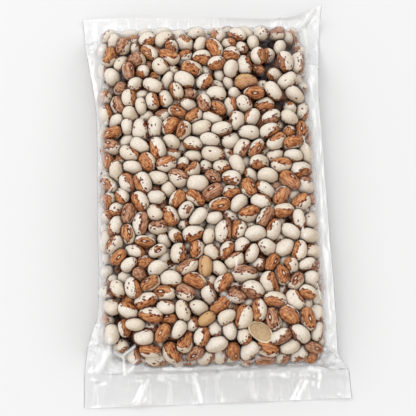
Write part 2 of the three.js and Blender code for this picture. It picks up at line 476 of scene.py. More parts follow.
# %% Make the split bean
SPLIT_GRID = bean_grid(44, list(range(5, 180, 5)))
shares, points = bean_points(SPLIT_GRID[0], [SPLIT], halved=True)
split_bean = add_mesh("split_bean", points[0], SPLIT_GRID[1])
keep_with_points(split_bean, "bean_spot", shares[0])
print(f"split bean of {len(split_bean.data.polygons)} faces")

# %% [markdown]
# ## Measuring the heap for the film
# The film has to lie on the beans without cutting into them. To ask quickly how far any point is
# from the nearest bean, the heap is measured once on a grid of one millimetre: each bean writes
# its distance into the cells round it, and the smallest number in a cell wins.

# %% The distance to the nearest bean, on a grid
CELL = 1.0
REACH = 9
MARGIN = 8
GRID_BOTTOM = -6.0
GRID_LAYERS = 44
FAR_OFF = 6.0
SPLIT_SUNK = 0.85  # there's no upper half to hold the film up, so it counts as lying lower
grid_low = np.array([-flat_width / 2 - MARGIN, -bag_length / 2 - MARGIN, GRID_BOTTOM])
grid_size = np.array([int(flat_width) + 2 * MARGIN, int(bag_length) + 2 * MARGIN, GRID_LAYERS])
to_bean = np.full(grid_size, FAR_OFF, dtype=np.float64)
block = np.stack(np.meshgrid(*[np.arange(-REACH, REACH + 1)] * 3, indexing="ij"), -1)
body = place.copy()
body[SPLIT, 2] -= half_depth[SPLIT] * SPLIT_SUNK
for number in range(bean_count):
    middle = np.round((body[number] - grid_low) / CELL).astype(int)
    cells = block + middle
    from_middle = cells * CELL + grid_low - body[number]
    own = from_middle @ axes[number].T
    sizes = np.array([half_length[number], half_depth[number], half_width[number]])
    own[..., 2] -= sizes[2] * bend[number] * ((own[..., 0] / sizes[0]) ** 2 - BEND_MIDDLE)
    share = np.abs(own / sizes)
    level = (share**BLUNT).sum(-1) ** (1 / BLUNT)
    slope = share ** (BLUNT - 1) / sizes / np.maximum(level, 0.05)[..., None] ** (BLUNT - 1)
    distance = (level - 1) / np.maximum(np.linalg.norm(slope, axis=-1), 1e-3)
    low = np.maximum(middle - REACH, 0)
    high = np.minimum(middle + REACH + 1, grid_size)
    cut = tuple(slice(a - m + REACH, b - m + REACH) for a, b, m in zip(low, high, middle))
    into = tuple(slice(a, b) for a, b in zip(low, high))
    to_bean[into] = np.minimum(to_bean[into], distance[cut])
away = np.stack(np.gradient(to_bean, CELL), -1)
away /= np.maximum(np.linalg.norm(away, axis=-1), TINY)[..., None]
to_bean_flat = to_bean.ravel()
away_flat = np.ascontiguousarray(away.reshape(-1, 3).T)
print(f"a grid of {to_bean.size} cells, a share of {(to_bean < 0).mean():.2f} of them in a bean")


def nearest_bean(points):
    """The distance from each point to the beans, and the way out of them. Planes of x, y and z."""
    spot = np.clip((points - grid_low[:, None, None]) / CELL, 0.0, grid_size[:, None, None] - 1.001)
    cell = spot.astype(int)
    part = spot - cell
    flat = (cell[0] * grid_size[1] + cell[1]) * grid_size[2] + cell[2]
    distance = np.zeros_like(part[0])
    way = np.zeros_like(part)
    for i, j, k in np.ndindex(2, 2, 2):
        weight = np.abs(part[0] - 1 + i) * np.abs(part[1] - 1 + j) * np.abs(part[2] - 1 + k)
        at = flat + (i * grid_size[1] + j) * grid_size[2] + k
        distance += weight * to_bean_flat[at]
        way += weight * away_flat[:, at]
    return distance, way / np.maximum(np.sqrt((way**2).sum(0)), TINY)


# %% [markdown]
# ## Painted shade between the beans
# Where two beans touch, hardly any light gets in. That shade is painted into the skin's colour, so
# each point of a bean keeps one more number: how crowded it is. It comes from stepping straight
# out from the bean's skin, a little at a time, and asking the grid how much room there is.

# %% How crowded each point is
CROWD_STEPS = (0.5, 1.0, 1.8)


def crowding(piece):
    """0 where a point has room all round, and 1 where another bean touches it."""
    count = len(piece.data.vertices)
    spots = np.empty(3 * count)
    facing = np.empty(3 * count)
    piece.data.vertices.foreach_get("co", spots)
    piece.data.vertex_normals.foreach_get("vector", facing)
    spots = spots.reshape(-1, 3).T[:, :, None] / MM
    facing = facing.reshape(-1, 3).T[:, :, None]
    room = [nearest_bean(spots + facing * step)[0][:, 0] / step for step in CROWD_STEPS]
    return 1 - np.clip(room, 0, 1).mean(0)


for kind, piece in beans.items():
    crowded = crowding(piece)
    # the painted shade where beans touch reads this
    keep_with_points(piece, "bean_crowding", crowded)
    print(f"{kind}: crowding {np.percentile(crowded, 10):.2f} to {np.percentile(crowded, 90):.2f}")

# %% [markdown]
# ## The film
# The film is a flat tube, and everything that it does comes from that: it can bend freely but
# hardly stretch, so where the beans take up its slack it is tight, and where they don't it folds
# and crinkles. Modelling such folds by hand never looks right. So the tube is a grid of points,
# first laid round the pillow, then pulled to its flat sizes again and again while the beans and
# the floor hold it off: a small cloth simulation. The two seals stay flat, and their free edges
# stay where they lie.

# %% The tube before it settles
COLUMNS = 240
ROWS = 200
HALF = COLUMNS // 2
LEFT_WAIST = 65.75
RIGHT_WAIST = 69.0  # more of the slack film lies on this side
NEAR_LEFT_FLARE = (66.0, 106.0)
NEAR_RIGHT_FLARE = (97.0, 106.0)
FAR_LEFT_FLARE = (40.0, 128.0)
FAR_RIGHT_FLARE = (60.0, 135.0)
NEAR_SLOPE = 24.0
NEAR_EDGE_HEIGHT = 1.2
FAR_EDGE_HEIGHT = 3.0
FLAP_WAVE = 0.7
FLAP_WAVES = 2.5
EAR_LIFT = 8.0
EAR_REACH = 26.0
SLOPE_LENGTH = 32.0
SEAL_GAP = 0.3
UNDER_GAP = 0.2
FAR_EDGE_SKEW = 3.0  # the far seal's right part curls over, so its edge is seen this much nearer
CURL_ACROSS = (-60, 50, 56, 74)
CURL_ALONG = (100, 120)


def film_side(y, right):
    """The film's outline, as the distance from the bag's middle line."""
    waist = RIGHT_WAIST if right else LEFT_WAIST
    near = NEAR_RIGHT_FLARE if right else NEAR_LEFT_FLARE
    far = FAR_RIGHT_FLARE if right else FAR_LEFT_FLARE
    flare = np.where(y < 0, smooth(-y, *near), smooth(y, *far))
    return waist + (flat_width / 2 - waist) * flare


def ear(x, y):
    """How much a point belongs to the far right corner, which curls up."""
    far = smooth(y, bag_length / 2 - EAR_REACH, bag_length / 2)
    return far * smooth(x, flat_width / 2 - EAR_REACH, flat_width / 2)


def middle_height(x, y):
    """The height midway between the two sheets, out to the seals' free edges."""
    edge = np.where(y < 0, NEAR_EDGE_HEIGHT, FAR_EDGE_HEIGHT)
    start = bag_length / 2 - SLOPE_LENGTH
    fall = smooth(np.abs(y), start, np.where(y < 0, start + NEAR_SLOPE, bag_length / 2))
    wave = FLAP_WAVE * fall * np.sin(x / flat_width * 2 * math.pi * FLAP_WAVES)
    return RIM_HEIGHT * (1 - fall) + edge * fall + wave + EAR_LIFT * ear(x, y)


def sheet_height(x, y, upper):
    """The height at which the upper or the lower sheet starts."""
    full = np.sqrt(fullness_squared(x, y))
    middle = middle_height(x, y)
    if upper:
        return middle + SEAL_GAP / 2 + full * (TOP_HEIGHT + FILM_OVER_BEANS - middle)
    return np.maximum(UNDER_GAP, (middle - SEAL_GAP / 2) * (1 - full * UNDERSIDE_SPREAD))


def even_steps(path, count):
    """Places a path at equal steps along its length. The path is rows of points."""
    steps = np.linalg.norm(np.diff(path, axis=0), axis=1)
    walked = np.concatenate([[0], np.cumsum(steps)])
    stops = np.linspace(0, walked[-1], count)
    stepped = [np.interp(stops, walked, path[:, k]) for k in range(path.shape[1])]
    return np.stack(stepped, 1), walked[-1]


LINE_POINTS = 1200
LOOP_POINTS = 240
line_y = np.linspace(-bag_length / 2, bag_length / 2, LINE_POINTS)
row_y = []
sheet_length = []
for upper in (True, False):
    middle_line = np.stack([line_y, sheet_height(0 * line_y, line_y, upper)], 1)
    even, walked = even_steps(middle_line, ROWS + 1)
    row_y.append(even[:, 0])
    sheet_length.append(walked)
print(f"film length over the top {sheet_length[0]:.0f} mm, under the bag {sheet_length[1]:.0f} mm")

column = np.arange(COLUMNS)
topness = 0.5 + 0.5 * np.cos((column - HALF / 2) / HALF * math.pi)  # 1 at the top's middle, 0 below
film = np.zeros((3, ROWS + 1, COLUMNS))  # planes of x, y and z
for row in range(ROWS + 1):
    loop = []
    for upper, way in ((True, 1), (False, -1)):
        y = row_y[0][row] if upper else row_y[1][row]
        x = way * np.linspace(-1, 1, LOOP_POINTS)
        x = x * np.where(x < 0, film_side(y, False), film_side(y, True))
        profile = np.stack([x, sheet_height(x, y + 0 * x, upper)], 1)
        even, _ = even_steps(profile, HALF + 1)
        loop.append(even[:-1])
    film[0, row], film[2, row] = np.vstack(loop).T
    film[1, row] = row_y[0][row] * topness + row_y[1][row] * (1 - topness)
curl = band(film[0], *CURL_ACROSS) * smooth(film[1], *CURL_ALONG)
film[1] -= FAR_EDGE_SKEW * curl

# %% The flat tube's own sizes, and what is held
SLACK_ALONG = 0.99
SIDE_HOLD = 0.3
NEAR_CLOSING = (102.0, 107.0)  # the sheets close up between these distances from the middle
FAR_CLOSING = (109.0, 114.0)
FLAT_SLACK = 3.0
UNEVEN_START = 0.05  # without it, folds would have no place to start
rest_round = 2 * (flat_width + FLAT_SLACK) / COLUMNS
rest_along = (sheet_length[0] * topness + sheet_length[1] * (1 - topness)) * SLACK_ALONG / ROWS
middle_y = (row_y[0] + row_y[1]) / 2
closed = np.where(middle_y < 0, smooth(-middle_y, *NEAR_CLOSING), smooth(middle_y, *FAR_CLOSING))
closed = closed[:, None]
side_line = np.stack([-film_side(film[1][:, 0], False), film_side(film[1][:, HALF], True)], 1)
loose = np.ones((ROWS + 1, COLUMNS))
loose[[0, -1]] = 0.0
film += rng.standard_normal(film.shape) * UNEVEN_START * loose
print(f"{(loose == 0).sum()} points are held, {rest_round:.3f} mm apart round the tube")

# %% Pulling neighbours to their distance
CRUSH = 0.25  # film resists being squeezed in its own plane far less than being stretched
BENDING = 0.04
PULL = 0.9
SHEAR = 0.3


def pull(a, b, rest, loose_a, loose_b, stretch, squeeze):
    """Moves two sets of points, in place, towards being their rest length apart."""
    apart = b - a
    distance = np.sqrt(apart[0] ** 2 + apart[1] ** 2 + apart[2] ** 2)
    wrong = distance - rest
    total = np.maximum(loose_a + loose_b, TINY) * np.maximum(distance, TINY)
    share = np.where(wrong > 0, stretch, squeeze) * wrong / total
    a += apart * (share * loose_a)
    b -= apart * (share * loose_b)


def pull_round(film, skip, rest, stretch, squeeze):
    """Pulls each point and the one skip columns on, round the whole tube."""
    for start in range(2 * skip):
        rolled = np.roll(film, -start, axis=2)
        free = np.roll(loose, -start, axis=1)
        first = slice(0, None, 2 * skip)
        second = slice(skip, None, 2 * skip)
        from_here, to_there = rolled[:, :, first], rolled[:, :, second]
        pull(from_here, to_there, rest, free[:, first], free[:, second], stretch, squeeze)
        film = np.roll(rolled, start, axis=2)
    return film


def pull_along(film, skip, rest, stretch, squeeze):
    """Pulls each point and the one skip rows on, in place."""
    for start in range(2 * skip):
        second = slice(start + skip, None, 2 * skip)
        count = film[:, second].shape[1]
        first = slice(start, start + 2 * skip * count, 2 * skip)
        pull(film[:, first], film[:, second], rest, loose[first], loose[second], stretch, squeeze)


def pull_slanting(film, way, rest, stretch, squeeze):
    """Pulls across the grid's squares, in place, which keeps them from leaning over."""
    for start in (0, 1):
        second = slice(start + 1, None, 2)
        count = film[:, second].shape[1]
        first = slice(start, start + 2 * count, 2)
        slanting = np.roll(film[:, second], -way, axis=2)
        free = np.roll(loose[second], -way, axis=1)
        pull(film[:, first], slanting, rest, loose[first], free, stretch, squeeze)
        film[:, second] = np.roll(slanting, way, axis=2)


def outward(film):
    """The way that the film faces, away from the beans."""
    round_tube = np.roll(film, -1, axis=2) - np.roll(film, 1, axis=2)
    along_tube = np.gradient(film, axis=1)
    facing = np.cross(round_tube, along_tube, axis=0)
    return facing / np.maximum(np.sqrt((facing**2).sum(0)), TINY)


# %% Let the film settle
FILM_ROUNDS = 400
PULL_IN = 0.012
FILM_WEIGHT = 0.004
OFF_BEANS = 0.4
OFF_FLOOR = 0.15
KEEPS_MOVING = 0.9
TOP_SPEED = 0.4
CLOSING_PULL = 0.5
mirror = (COLUMNS - column) % COLUMNS
above = np.sign(topness - 0.5)
above[[0, HALF]] = 0
rest_slanting = np.sqrt(rest_round**2 + rest_along**2)
speed = np.zeros_like(film)
for film_round in range(FILM_ROUNDS):
    before = film
    speed = speed * KEEPS_MOVING - outward(film) * PULL_IN
    speed[2] -= FILM_WEIGHT
    film = film + speed * loose
    film = pull_round(film, 2, 2 * rest_round, BENDING, BENDING)
    pull_along(film, 2, 2 * rest_along, BENDING, BENDING)
    for repeat in range(2):
        film = pull_round(film, 1, rest_round, PULL, CRUSH)
        pull_along(film, 1, rest_along, PULL, CRUSH)
    pull_slanting(film, 1, rest_slanting, SHEAR, SHEAR / 3)
    pull_slanting(film, -1, rest_slanting, SHEAR, SHEAR / 3)
    film[0][:, [0, HALF]] += SIDE_HOLD * (side_line - film[0][:, [0, HALF]])
    together = (film + film[:, :, mirror]) / 2
    together[2] += above * SEAL_GAP / 2
    film += (together - film) * CLOSING_PULL * closed * loose
    distance, way = nearest_bean(film)
    film += way * np.maximum(0, OFF_BEANS - distance) * loose
    lacking = np.maximum(0, SEAL_GAP - above * (film[2] - film[2][:, mirror]))
    film[2] += above * lacking / 2 * loose
    film[2] = np.maximum(film[2], OFF_FLOOR)
    film = np.round(film, 6)
    speed = film - before
    speed *= np.minimum(1, TOP_SPEED / np.maximum(np.sqrt((speed**2).sum(0)), TINY))

print(f"the film still moves {np.sqrt((speed**2).sum(0)).mean():.4f} mm a round")

# %% [markdown]
# ## Folds in the loose film
# Where no bean holds it tight, film keeps every fold that it ever got: flat facets that meet in
# sharp lines. A sum of zigzag waves in random directions has just that form. It is strongest on
# the loose fins at the sides and in the puckered band next to each seal, and the seals
# themselves have a few long creases across them. Here and there the tight film is pinched into a
# sharp fold. Both are short lines with a soft edge, added to the film one by one. Highlights
# where some of these folds glint are painted on further down, as white film.

# %% A finer grid, so that small folds have points enough
FINE_COLUMNS = 336
FINE_ROWS = 280


def finer(values, axis, count, wraps):
    """Places a grid's lines anew at even steps, on a smooth curve through the old ones."""
    last = values.shape[axis] if wraps else values.shape[axis] - 1
    stops = np.arange(count) * last / (count if wraps else count - 1)
    start = np.minimum(stops.astype(int), last - 1)
    t = stops - start
    shape = [1] * values.ndim
    shape[axis] = count
    weights = (-t + 2 * t**2 - t**3, 2 - 5 * t**2 + 3 * t**3, t + 4 * t**2 - 3 * t**3, t**3 - t**2)
    total = 0
    for k, weight in enumerate(weights):
        index = start + k - 1
        index = index % values.shape[axis] if wraps else np.clip(index, 0, last)
        total = total + np.take(values, index, axis=axis) * weight.reshape(shape) / 2
    return total


film = finer(film, 1, FINE_ROWS + 1, wraps=False)
film = finer(film, 2, FINE_COLUMNS, wraps=True)
distance, way = nearest_bean(film)
film += way * np.maximum(0, OFF_BEANS - distance)
print(f"{distance.size} points, a share of {(distance < OFF_BEANS).mean():.2f} lifted off a bean")

# %% The folds
FOLD_SETS = 7
FIN_START = (57.0, 64.0)
NEAR_BAND = (96.0, 101.0, 107.0, 112.0)
FAR_BAND = (103.0, 107.0, 112.0, 116.0)
CREASES = (  # from, to, height and width of each
    ((-37, -103), (-45, -119.5), 1.5, 3.4),
    ((-31, -105), (-36, -119.5), 0.3, 3.0),
    ((-14, -103), (-11, -119.5), 1.5, 3.2),
    ((-22, -104), (-24, -119.5), 0.3, 4.0),
    ((20, -106), (23, -119.5), 0.5, 2.6),
    ((3, -108), (5, -119.5), 0.3, 3.0),
    ((50, -107), (43, -119.5), 1.3, 2.8),
    ((57, -103), (55, -113), 1.3, 3.0),
    ((66, -102), (70, -119.5), 0.7, 2.6),
    ((-60, -104), (-66, -119.5), 0.3, 3.6),
    ((-44, -101.5), (0, -102.5), -0.8, 1.4),
    ((0, -102.5), (64, -101), -0.8, 1.4),
    ((-57, -85), (-69, -101), 2.2, 4.2),
    ((-52, -94), (-52, -102), 0.8, 2.2),
    ((-52, -94), (-45, -90), 0.8, 2.2),
    ((-52, -94), (-57, -91), 0.7, 2.2),
    ((-50, -101), (-44, -97), 0.8, 2.2),
    ((66, -95), (60, -103), 1.2, 2.6),
    ((62, -84), (66, -96), 0.9, 2.2),
    ((-61, 100), (-68, 116), 0.4, 3.0),
    ((-30, 108), (-33, 119.5), 0.6, 2.8),
    ((8, 108), (6, 119.5), 0.5, 2.8),
    ((44, 107), (50, 119.5), 0.9, 2.6),
)
PINCHES = (  # from, to and height of each
    ((-59, -3), (-55, 2), 0.6),
    ((12, -51), (13, -44), 0.6),
    ((50, -25), (52, -32), 0.6),
    ((4, -63), (9, -68), 0.6),
    ((-29, 12), (-27, 16), 0.5),
    ((55, 28), (57, 21), 0.6),
    ((57, -59), (59, -67), 0.6),
)
PINCH_WIDTH = 0.9
WELD_LINES = (  # the near weld's inner edge, where the two sheets are one clear sheet
    ((-46, -101.8), (0, -102.3)),
    ((0, -102.3), (66, -101.2)),
)
PAINTED_HIGHLIGHT_FOLDS = (  # painted highlights, as white film along folds that glint: from, to, share and width of each
    ((-52, -94), (-52, -102), 1.0, 1.0),
    ((-52, -94), (-45, -90), 1.0, 1.0),
    ((-52, -94), (-57, -91), 0.8, 1.0),
    ((-50, -101), (-44, -97), 0.9, 1.0),
    ((-58, -86), (-67, -99), 0.7, 2.6),
    ((-30, -100.6), (-14, -100.9), 0.9, 0.9),
    ((30, -105), (38, -106), 0.6, 1.2),
    ((52, -103), (58, -104), 0.8, 1.8),
    ((-39, -106), (-45, -119), 0.5, 1.6),
    ((-13, -105), (-10, -119), 0.7, 1.4),
    ((49, -111), (44, -119.5), 0.7, 1.4),
)


def zigzags(x, y, way, spread, spacing, seed):
    """Facets that meet in sharp folds, from -1 to 1, most of them across the given way."""
    draw = np.random.default_rng(seed)
    x = x + 3 * np.sin(y / 17 + seed)
    y = y + 3 * np.sin(x / 13 + seed)
    total = 0
    for number in range(FOLD_SETS):
        angle = way + spread * draw.standard_normal()
        pitch = spacing * draw.uniform(0.6, 1.8)
        phase = (x * math.cos(angle) + y * math.sin(angle)) / pitch + draw.random()
        total = total + 4 * np.abs(phase % 1 - 0.5) - 1
    return total / math.sqrt(FOLD_SETS)


def crease(x, y, start, end, width):
    """1 along the line from start to end, and falling to 0 at this distance from it."""
    way = np.subtract(end, start)
    along = ((x - start[0]) * way[0] + (y - start[1]) * way[1]) / (way @ way)
    along = np.clip(along, 0, 1)
    aside = np.hypot(x - start[0] - along * way[0], y - start[1] - along * way[1])
    return np.maximum(0, 1 - aside / width)


x, y, z = film
flap = np.maximum(smooth(-y, *NEAR_BAND[:2]), smooth(y, *FAR_BAND[:2]))
fin = smooth(np.abs(x - FILL_MIDDLE[0] / 2), *FIN_START) * (1 - flap)
FOLDED = (  # where the film is folded, how high, which way, the ways' spread, spacing and seed
    (fin, 0.36, 0.0, 0.25, 5.0, 1),
    (band(-y, *NEAR_BAND), 0.34, math.pi / 2, 0.5, 6.0, 2),
    (band(y, *FAR_BAND), 0.26, math.pi / 2, 0.5, 7.0, 3),
    (flap, 0.13, 0.1, 0.3, 14.0, 4),
    (ear(x, y), 0.7, 0.8, 0.3, 9.0, 5),
)
folds = 0
for where, height, *pattern in FOLDED:
    folds = folds + height * where * zigzags(x, y, *pattern)
for start, end, height, width in CREASES:
    folds += height * crease(x, y, start, end, width)
film[2] += folds
print(f"folds up to {np.abs(folds).max():.1f} mm high")

# %% Pinches and puckers in the tight film
PUCKERED_FROM = (0.5, 1.3)
PUCKER_HEIGHT = 0.16

upper = z > RIM_HEIGHT
pinched = 0
for start, end, height in PINCHES:
    pinched = np.maximum(pinched, height * crease(x, y, start, end, PINCH_WIDTH) * upper)
puckered = smooth(zigzags(x, y, 0.9, 1.0, 34.0, 6), *PUCKERED_FROM) * (1 - flap)
bumps = PUCKER_HEIGHT * puckered * (1 + zigzags(x, y, 0.4, 1.2, 6.0, 7)).clip(0)
film += outward(film) * (pinched + bumps)
film[2] = np.maximum(film[2], OFF_FLOOR)
print(f"pinches up to {pinched.max():.1f} mm high, and puckers up to {bumps.max():.1f} mm")

# %% How loose and how white each point of the film is, and its painted highlights
FREE_FROM = (1.5, 4.5)  # film that lies this far from every bean is loose
RIM_FREE_FROM = (0.7, 2.4)  # at the pillow's rim it's loose sooner
RIM_ACROSS = (54, 60)
RIM_ALONG = (94, 101)
FREE_ON_TOP = 0.2
FREE_AT_RIM = 0.7
RIM_LOOSE = 0.85
PUCKER_LOOSE = 0.15
WELD_CLEAR = 0.6
WELD_WIDTH = 1.4
FAR_WHITE_FROM = (92, 113)  # the film turns whiter towards the far seal between these
FAR_WHITE = 0.35
# pinches between these heights grow a painted highlight, as white film
PINCH_HIGHLIGHT_HEIGHTS = (0.2, 0.6)
from_beans, _ = nearest_bean(film)
rim_across = smooth(np.abs(x - FILL_MIDDLE[0]), *RIM_ACROSS)
rim_along = smooth(np.abs(y - FILL_MIDDLE[1]), *RIM_ALONG)
rim = np.maximum(rim_across, rim_along)
free = (FREE_ON_TOP + FREE_AT_RIM * rim) * smooth(from_beans, *FREE_FROM)
rim_free = RIM_LOOSE * rim * smooth(from_beans, *RIM_FREE_FROM)
looseness = np.maximum.reduce([fin, free, rim_free, PUCKER_LOOSE * puckered])
for start, end in WELD_LINES:
    looseness = looseness * (1 - WELD_CLEAR * crease(x, y, start, end, WELD_WIDTH))
# white film: whiter towards the far seal, and painted highlights on the taller pinches and along the
# folds listed
white_and_highlights = np.maximum(smooth(pinched, *PINCH_HIGHLIGHT_HEIGHTS), FAR_WHITE * smooth(y, *FAR_WHITE_FROM))
for start, end, strength, width in PAINTED_HIGHLIGHT_FOLDS:
    white_and_highlights = np.maximum(white_and_highlights, strength * crease(x, y, start, end, width))
print(f"a share of {looseness.mean():.2f} of the film is loose, and {white_and_highlights.mean():.2f} is white")

# %% The film's mesh
row, col = np.meshgrid(np.arange(FINE_ROWS), np.arange(FINE_COLUMNS), indexing="ij")
beside = (col + 1) % FINE_COLUMNS
first = row * FINE_COLUMNS
second = first + FINE_COLUMNS
corners = np.stack([first + col, first + beside, second + beside, second + col], -1).reshape(-1, 4)
bag_skin = add_mesh("clear_film", film.reshape(3, -1).T, corners)
keep_with_points(bag_skin, "film_looseness", looseness.ravel())
keep_with_points(bag_skin, "film_white_and_highlights", white_and_highlights.ravel())
print(f"film of {len(corners)} faces")

# %% [markdown]
# ## The beans' skin
# A bean's own colours belong to the bean, not to the space round it, so every point carries its
# place on its own bean, with 1 at the eye, and three random numbers that are the same all over one
# bean. The material reads both. A sum of the place and some noise decides where the rust patch is:
# it covers the eye's side and breaks up at its border, where most of the dark flecks sit.
# The room has to be bright all round, or the film would mirror something dark. In such a light
# round things look flat, so shade is painted into the skin's colour: it gets a little deeper where
# it turns away from the large light, where the bean lies deep in the heap, and where another bean
# touches it.

# %% Short ways to make nodes
def node(tree, kind, inputs=None, **settings):
    """Adds a node. An input is given by name or number, as a value or as another node's output."""
    made = tree.nodes.new(kind)
    for name, value in settings.items():
        setattr(made, name, value)
    for name, value in (inputs or {}).items():
        if isinstance(value, bpy.types.NodeSocket):
            tree.links.new(value, made.inputs[name])
        else:
            made.inputs[name].default_value = value
    return made


def math_node(tree, operation, a, b=0.0, c=0.0):
    """One sum on numbers."""
    return node(tree, "ShaderNodeMath", {0: a, 1: b, 2: c}, operation=operation).outputs[0]


def vector_node(tree, operation, a, b=(0, 0, 0)):
    """One sum on places or colours. A dot product and a length are numbers."""
    made = node(tree, "ShaderNodeVectorMath", {0: a, 1: b}, operation=operation)
    return made.outputs["Value" if operation in ("DOT_PRODUCT", "LENGTH") else "Vector"]


def step_node(tree, value, low, high, start=0.0, end=1.0):
    """A soft step from start to end while the value goes from low to high."""
    inputs = {"Value": value, "From Min": low, "From Max": high, "To Min": start, "To Max": end}
    return node(tree, "ShaderNodeMapRange", inputs, interpolation_type="SMOOTHSTEP").outputs[0]


def noise_node(tree, place, scale, detail=2.0, roughness=0.5):
    """Soft random cloud, about 0.5 on average. More detail adds finer cloud to it."""
    inputs = {"Vector": place, "Scale": scale, "Detail": detail, "Roughness": roughness}
    return node(tree, "ShaderNodeTexNoise", inputs).outputs["Fac"]


def wobble_node(tree, place, height, scale, detail=2.0, roughness=0.5):
    """The same cloud, but about 0 on average and this high from low to high."""
    cloud = noise_node(tree, place, scale, detail, roughness)
    return math_node(tree, "MULTIPLY_ADD", cloud, height, -height / 2)


def attribute_node(tree, name, output="Fac"):
    """What was kept with each point under this name."""
    return node(tree, "ShaderNodeAttribute", attribute_name=name).outputs[output]


def part_node(tree, vector, number):
    """One of a vector's three numbers."""
    return node(tree, "ShaderNodeSeparateXYZ", {0: vector}).outputs[number]


def blend_node(tree, share, first, second):
    """Goes from the first colour to the second as the share goes from 0 to 1."""
    made = node(tree, "ShaderNodeMix", data_type="RGBA")
    for index, value in ((0, share), (6, first), (7, second)):
        if isinstance(value, bpy.types.NodeSocket):
            tree.links.new(value, made.inputs[index])
        elif index == 0:
            made.inputs[index].default_value = value
        else:
            made.inputs[index].default_value = (*value, 1)
    return made.outputs[2]


def paint(red, green, blue):
    """A colour as a paint shop gives it, from 0 to 255, in the linear numbers that shaders use."""
    shares = [c / 255 for c in (red, green, blue)]
    return tuple(c / 12.92 if c <= 0.04045 else ((c + 0.055) / 1.055) ** 2.4 for c in shares)


def tinted(colour, keeps):
    """What a colour becomes when it keeps these shares of its red, green and blue."""
    return tuple(c * k for c, k in zip(colour, keeps))


def new_material(name):
    """An empty material and its node tree."""
    material = bpy.data.materials.new(name)
    material.use_nodes = True
    material.node_tree.nodes.clear()
    return material, material.node_tree


def dress(piece, material):
    """Gives a piece its material."""
    piece.data.materials.append(material)
    print(f"{piece.name} wears {material.name}, of {len(material.node_tree.nodes)} nodes")


# %% Where the patch is
PATCH_DRIFT = (1.1, 1.3, 0.0)  # how far from the eye the patch's middle may lie, along and across
PATCH_EDGE = (-0.02, 0.04)


def patch_level(tree, spot, luck, place, cover_low, cover_high):
    """Above 0 in the patch and below 0 outside it, with broad bays and a ragged border."""
    tilt = vector_node(tree, "ADD", luck, (-0.5, -0.5, -0.5))
    tilt = vector_node(tree, "MULTIPLY", tilt, PATCH_DRIFT)
    tilt = vector_node(tree, "ADD", tilt, (0.0, 0.0, 1.0))
    towards_eye = vector_node(tree, "DOT_PRODUCT", spot, tilt)
    cover = step_node(tree, part_node(tree, luck, 2), 0.0, 1.0, cover_low, cover_high)
    level = math_node(tree, "SUBTRACT", towards_eye, cover)
    broad = wobble_node(tree, place, 1.2, 1.4, 1.0)
    ragged = wobble_node(tree, place, 0.5, 3.4, 2.0, 0.6)
    return math_node(tree, "ADD", level, math_node(tree, "ADD", broad, ragged))


# %% The patch's colours
BORDER_REACH = 0.3
BORDER_SHARE = 0.85
LINE_SHARE = 0.6


def patch_paint(tree, place, streak_place, level, light, dark, fleck):
    """Light and dark streaks, with dark blotches along the border and a few dark lines."""
    streaks = step_node(tree, noise_node(tree, streak_place, 1.5, 3.0, 0.55), 0.3, 0.7)
    colour = blend_node(tree, streaks, light, dark)
    blotches = step_node(tree, noise_node(tree, place, 3.2, 2.0, 0.6), 0.39, 0.54)
    border = math_node(tree, "MULTIPLY", step_node(tree, level, BORDER_REACH, 0.02), blotches)
    colour = blend_node(tree, math_node(tree, "MULTIPLY", border, BORDER_SHARE), colour, fleck)
    line_cloud = noise_node(tree, streak_place, 3.0, 2.0, 0.6)
    return blend_node(tree, step_node(tree, line_cloud, 0.53, 0.63, 0.0, LINE_SHARE), colour, fleck)


# %% The ivory
SHADE = (0.8, 0.75, 0.67)  # what the darker mottling keeps of the ivory's red, green and blue
CREAM = (0.95, 0.89, 0.8)
CREAM_SHARE = 0.7
VEIN = (0.6, 0.52, 0.42)
VEIN_WIDTH = 0.03
VEIN_SHARE = 0.6


def ivory_paint(tree, place, streak_place, luck, ivory):
    """Ivory that is creamier on some beans, with soft mottling and fine veins."""
    own_cream = step_node(tree, part_node(tree, luck, 0), 0.3, 1.0, 0.0, CREAM_SHARE)
    colour = blend_node(tree, own_cream, ivory, tinted(ivory, CREAM))
    mottle = step_node(tree, noise_node(tree, place, 7.0, 4.0, 0.7), 0.35, 0.75)
    colour = blend_node(tree, mottle, colour, tinted(ivory, SHADE))
    vein_cloud = math_node(tree, "SUBTRACT", noise_node(tree, streak_place, 2.2, 3.0, 0.6), 0.5)
    from_vein = math_node(tree, "ABSOLUTE", vein_cloud)
    veins = step_node(tree, from_vein, VEIN_WIDTH, 0.0, 0.0, VEIN_SHARE)
    return blend_node(tree, veins, colour, tinted(ivory, VEIN))


# %% Flecks
FLECK_SCALE = 2.7
FLECK_SIZE = 0.42
FLECK_SHARE = 0.9


def with_flecks(tree, place, level, colour, fleck, how_many):
    """Adds dark flecks, most of them near the patch's border."""
    cell_inputs = {"Vector": place, "Scale": FLECK_SCALE, "Randomness": 1.0}
    cells = node(tree, "ShaderNodeTexVoronoi", cell_inputs)
    picked = node(tree, "ShaderNodeSeparateColor", {0: cells.outputs["Color"]}).outputs[0]
    near_border = step_node(tree, math_node(tree, "ABSOLUTE", level), 0.5, 0.1, 0.05, 1.0)
    wanted = math_node(tree, "MULTIPLY", near_border, how_many)
    chosen = math_node(tree, "GREATER_THAN", wanted, picked)
    radius = math_node(tree, "MULTIPLY", chosen, FLECK_SIZE)
    edge = math_node(tree, "ADD", cells.outputs["Distance"], wobble_node(tree, place, 0.5, 6.0))
    flecks = step_node(tree, math_node(tree, "SUBTRACT", radius, edge), 0.0, 0.06, 0.0, FLECK_SHARE)
    return blend_node(tree, flecks, colour, fleck)


# %% The eye
EYE_COLOUR = paint(214, 202, 184)
EYE_SIZE = (0.16, 0.1)
EYE_EDGE = (1.1, 0.9)  # in eye sizes from its middle
RING_EDGE = (3.0, 2.2)
RING_SHARE = (0.45, 0.95)


